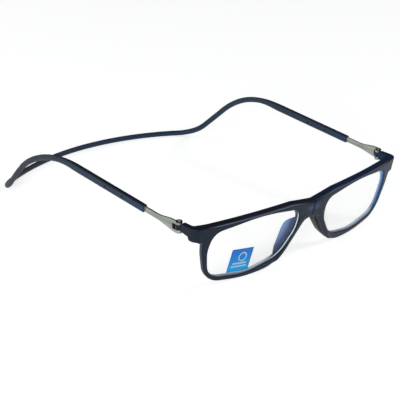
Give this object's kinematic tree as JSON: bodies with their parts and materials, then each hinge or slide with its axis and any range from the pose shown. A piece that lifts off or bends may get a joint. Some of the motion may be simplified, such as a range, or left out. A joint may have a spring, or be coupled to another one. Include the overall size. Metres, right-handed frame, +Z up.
{
  "type": "reading glasses",
  "caption": "Reading glasses that part at the bridge: two half fronts with magnets, steel arms that slide in a one-piece neck band, and vertical barrel hinges.",
  "frame": {"origin": "on the surface it lies on, midway between the front of the brow and the back of the neck band, on the centre plane", "axes": "+X to the right as seen from the front; +Y back towards the neck; +Z up"},
  "size_m": [0.1454, 0.1744, 0.0371],
  "materials": {
    "band_plastic": "satin dark slate blue",
    "frame_plastic": "satin dark navy, slightly see-through",
    "clear_lens": "clear, polished",
    "arm_steel": "brushed",
    "screw_steel": "polished",
    "bush_steel": "turned",
    "magnet": "plated",
    "film": "printed film",
    "dark_pin": "black"
  },
  "bodies": {
    "headband": {"headband": "band_plastic", "stop_pin_left_front": "dark_pin", "stop_pin_left_rear": "dark_pin", "stop_pin_right_front": "dark_pin", "stop_pin_right_rear": "dark_pin"},
    "arm_left": {"arm_left": "arm_steel", "hinge_screw_left": "screw_steel"},
    "front_left": {"front_left": "frame_plastic", "lens_left": "clear_lens", "magnet_left": "magnet", "hinge_bush_left": "bush_steel", "lens_film": "film"},
    "arm_right": {"arm_right": "arm_steel", "hinge_screw_right": "screw_steel"},
    "front_right": {"front_right": "frame_plastic", "lens_right": "clear_lens", "magnet_right": "magnet", "hinge_bush_right": "bush_steel"}
  },
  "joints": [
    {"name": "arm_slide_left", "type": "slide", "parent": "headband", "child": "arm_left", "axis": [0, -0.9972, -0.075], "range_m": [-0.003, 0.012]},
    {"name": "arm_slide_right", "type": "slide", "parent": "headband", "child": "arm_right", "axis": [0, -0.9972, -0.075], "range_m": [-0.003, 0.012]},
    {"name": "front_hinge_left", "type": "hinge", "parent": "arm_left", "child": "front_left", "pos_m": [-0.0692, -0.06895, 0.0301], "axis": [0, 0, -1], "range_deg": [0, 90]},
    {"name": "front_hinge_right", "type": "hinge", "parent": "arm_right", "child": "front_right", "pos_m": [0.0692, -0.06895, 0.0301], "axis": [0, 0, 1], "range_deg": [0, 90]}
  ]
}
